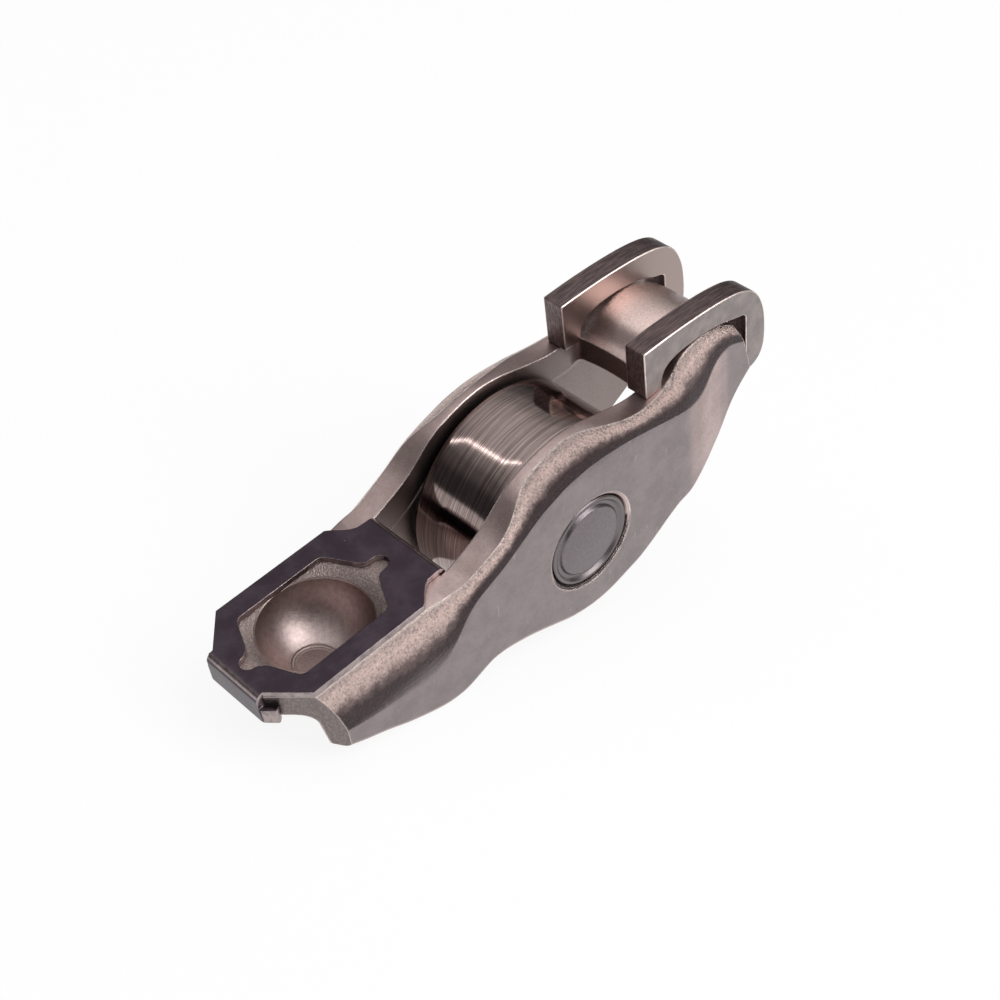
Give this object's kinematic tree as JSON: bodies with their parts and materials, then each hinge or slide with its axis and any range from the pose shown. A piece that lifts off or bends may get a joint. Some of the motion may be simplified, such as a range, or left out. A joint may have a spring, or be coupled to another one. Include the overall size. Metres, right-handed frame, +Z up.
{
  "type": "roller rocker arm",
  "caption": "Pressed steel finger follower with a ball socket, a needle-bearing roller in its middle, two valve stem guides and a spring clip over the socket.",
  "frame": {"origin": "on the floor that the part lies on, under the middle of its length and width", "axes": "+X from the ball socket towards the valve end, +Y across the lever along the axle, +Z up from the floor; the lever itself is pitched about Y by 14.64 degrees, valve end up, as it lies on its roller and its two walls"},
  "size_m": [0.051, 0.0142, 0.0257],
  "materials": {
    "lever_steel": "case-hardened pressed steel, orange-peel on the bends",
    "guide_steel": "dark rolled steel with heat tint at the welded feet",
    "axle_steel": "ground, staked at both ends",
    "roller_steel": "fine ground round its circumference",
    "needle_steel": "polished",
    "clip_steel": "blackened spring steel"
  },
  "bodies": {
    "lever": {"lever_body": "lever_steel", "guide_near": "guide_steel", "guide_far": "guide_steel", "axle": "axle_steel", "retaining_clip": "clip_steel"},
    "roller": {"roller": "roller_steel"},
    "needle_set": {"needle_01": "needle_steel", "needle_02": "needle_steel", "needle_03": "needle_steel", "needle_04": "needle_steel", "needle_05": "needle_steel", "needle_06": "needle_steel", "needle_07": "needle_steel", "needle_08": "needle_steel", "needle_09": "needle_steel", "needle_10": "needle_steel", "needle_11": "needle_steel", "needle_12": "needle_steel", "needle_13": "needle_steel", "needle_14": "needle_steel", "needle_15": "needle_steel", "needle_16": "needle_steel", "needle_17": "needle_steel", "needle_18": "needle_steel"}
  },
  "joints": [
    {"name": "roller_spin", "type": "hinge", "parent": "lever", "child": "roller", "pos_m": [0.0046, 0, 0.00918], "axis": [0, 1, 0], "continuous": true},
    {"name": "needles_orbit", "type": "hinge", "parent": "lever", "child": "needle_set", "pos_m": [0.0046, 0, 0.00918], "axis": [0, 1, 0], "continuous": true}
  ],
  "couplings": [
    {"joint": "needles_orbit", "follows": "roller_spin", "ratio": 0.58779}
  ]
}
